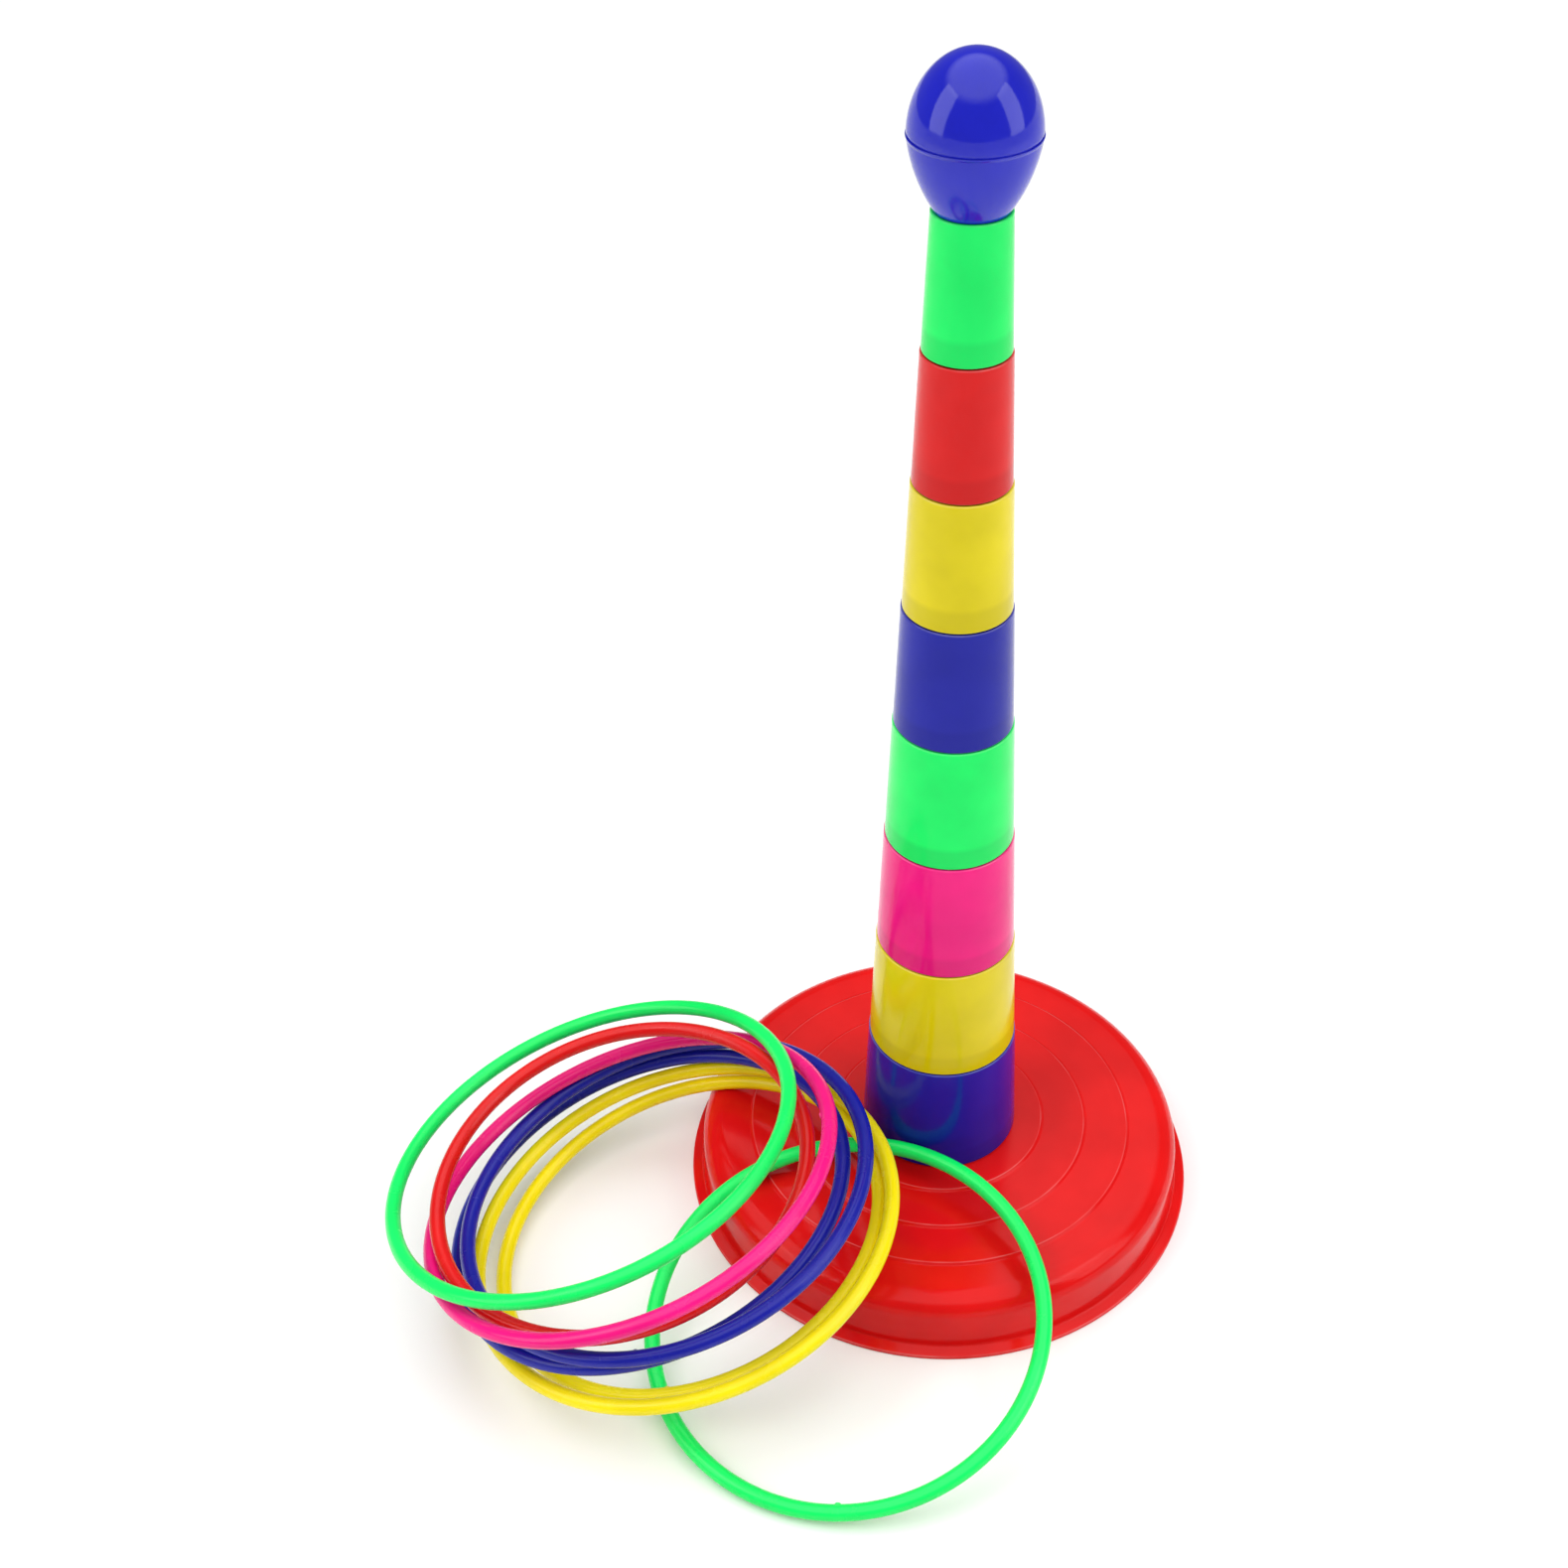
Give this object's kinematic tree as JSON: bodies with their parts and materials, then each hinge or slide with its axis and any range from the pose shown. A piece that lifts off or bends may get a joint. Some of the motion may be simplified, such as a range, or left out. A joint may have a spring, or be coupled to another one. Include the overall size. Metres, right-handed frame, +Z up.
{
  "type": "ring toss set",
  "caption": "Lawn ring toss set: round terraced base, tapering plug-together column with an egg-shaped bulb, and a heap of throwing rings beside it.",
  "frame": {"origin": "centre of the base's underside, on the ground and on the column's axis", "axes": "+Z up along the column, -Y towards the thrower, +X to the thrower's right; the rings lie heaped towards -X"},
  "size_m": [0.2319, 0.2054, 0.344],
  "materials": {
    "base_red": "gloss",
    "column_blue": "gloss",
    "column_yellow": "gloss",
    "column_pink": "gloss",
    "column_green": "gloss",
    "column_red": "gloss",
    "bulb_blue": "gloss",
    "ring_green": "gloss",
    "ring_yellow": "gloss",
    "ring_blue": "gloss",
    "ring_pink": "gloss",
    "ring_red": "gloss"
  },
  "bodies": {
    "base": {"base": "base_red"},
    "section_1": {"section_1": "column_blue"},
    "section_2": {"section_2": "column_yellow"},
    "section_3": {"section_3": "column_pink"},
    "section_4": {"section_4": "column_green"},
    "section_5": {"section_5": "column_blue"},
    "section_6": {"section_6": "column_yellow"},
    "section_7": {"section_7": "column_red"},
    "section_8": {"section_8": "column_green"},
    "bulb": {"bulb_bowl": "bulb_blue", "bulb_dome": "bulb_blue"},
    "ring_green_low": {"ring_green_low": "ring_green"},
    "ring_yellow_low": {"ring_yellow_low": "ring_yellow"},
    "ring_yellow_high": {"ring_yellow_high": "ring_yellow"},
    "ring_blue_low": {"ring_blue_low": "ring_blue"},
    "ring_blue_high": {"ring_blue_high": "ring_blue"},
    "ring_pink": {"ring_pink": "ring_pink"},
    "ring_red": {"ring_red": "ring_red"},
    "ring_green_top": {"ring_green_top": "ring_green"}
  },
  "joints": [
    {"name": "section_1_lift", "type": "slide", "parent": "base", "child": "section_1", "axis": [0, 0, 1], "range_m": [0, 0.03]},
    {"name": "section_2_lift", "type": "slide", "parent": "section_1", "child": "section_2", "axis": [0, 0, 1], "range_m": [0, 0.03]},
    {"name": "section_3_lift", "type": "slide", "parent": "section_2", "child": "section_3", "axis": [0, 0, 1], "range_m": [0, 0.03]},
    {"name": "section_4_lift", "type": "slide", "parent": "section_3", "child": "section_4", "axis": [0, 0, 1], "range_m": [0, 0.03]},
    {"name": "section_5_lift", "type": "slide", "parent": "section_4", "child": "section_5", "axis": [0, 0, 1], "range_m": [0, 0.03]},
    {"name": "section_6_lift", "type": "slide", "parent": "section_5", "child": "section_6", "axis": [0, 0, 1], "range_m": [0, 0.03]},
    {"name": "section_7_lift", "type": "slide", "parent": "section_6", "child": "section_7", "axis": [0, 0, 1], "range_m": [0, 0.03]},
    {"name": "section_8_lift", "type": "slide", "parent": "section_7", "child": "section_8", "axis": [0, 0, 1], "range_m": [0, 0.03]},
    {"name": "bulb_lift", "type": "slide", "parent": "section_8", "child": "bulb", "axis": [0, 0, 1], "range_m": [0, 0.03]},
    {"name": "ring_green_low_lift", "type": "slide", "parent": "base", "child": "ring_green_low", "axis": [0, 0, 1], "range_m": [0, 0.06]},
    {"name": "ring_yellow_low_lift", "type": "slide", "parent": "ring_green_low", "child": "ring_yellow_low", "axis": [0, 0, 1], "range_m": [0, 0.06]},
    {"name": "ring_yellow_high_lift", "type": "slide", "parent": "ring_yellow_low", "child": "ring_yellow_high", "axis": [0, 0, 1], "range_m": [0, 0.06]},
    {"name": "ring_blue_low_lift", "type": "slide", "parent": "ring_yellow_high", "child": "ring_blue_low", "axis": [0, 0, 1], "range_m": [0, 0.06]},
    {"name": "ring_blue_high_lift", "type": "slide", "parent": "ring_blue_low", "child": "ring_blue_high", "axis": [0, 0, 1], "range_m": [0, 0.06]},
    {"name": "ring_pink_lift", "type": "slide", "parent": "ring_blue_high", "child": "ring_pink", "axis": [0, 0, 1], "range_m": [0, 0.06]},
    {"name": "ring_red_lift", "type": "slide", "parent": "ring_pink", "child": "ring_red", "axis": [-0.098, 0.7519, 0.6519], "range_m": [0, 0.06]},
    {"name": "ring_green_top_lift", "type": "slide", "parent": "ring_red", "child": "ring_green_top", "axis": [0, 0, 1], "range_m": [0, 0.06]}
  ]
}
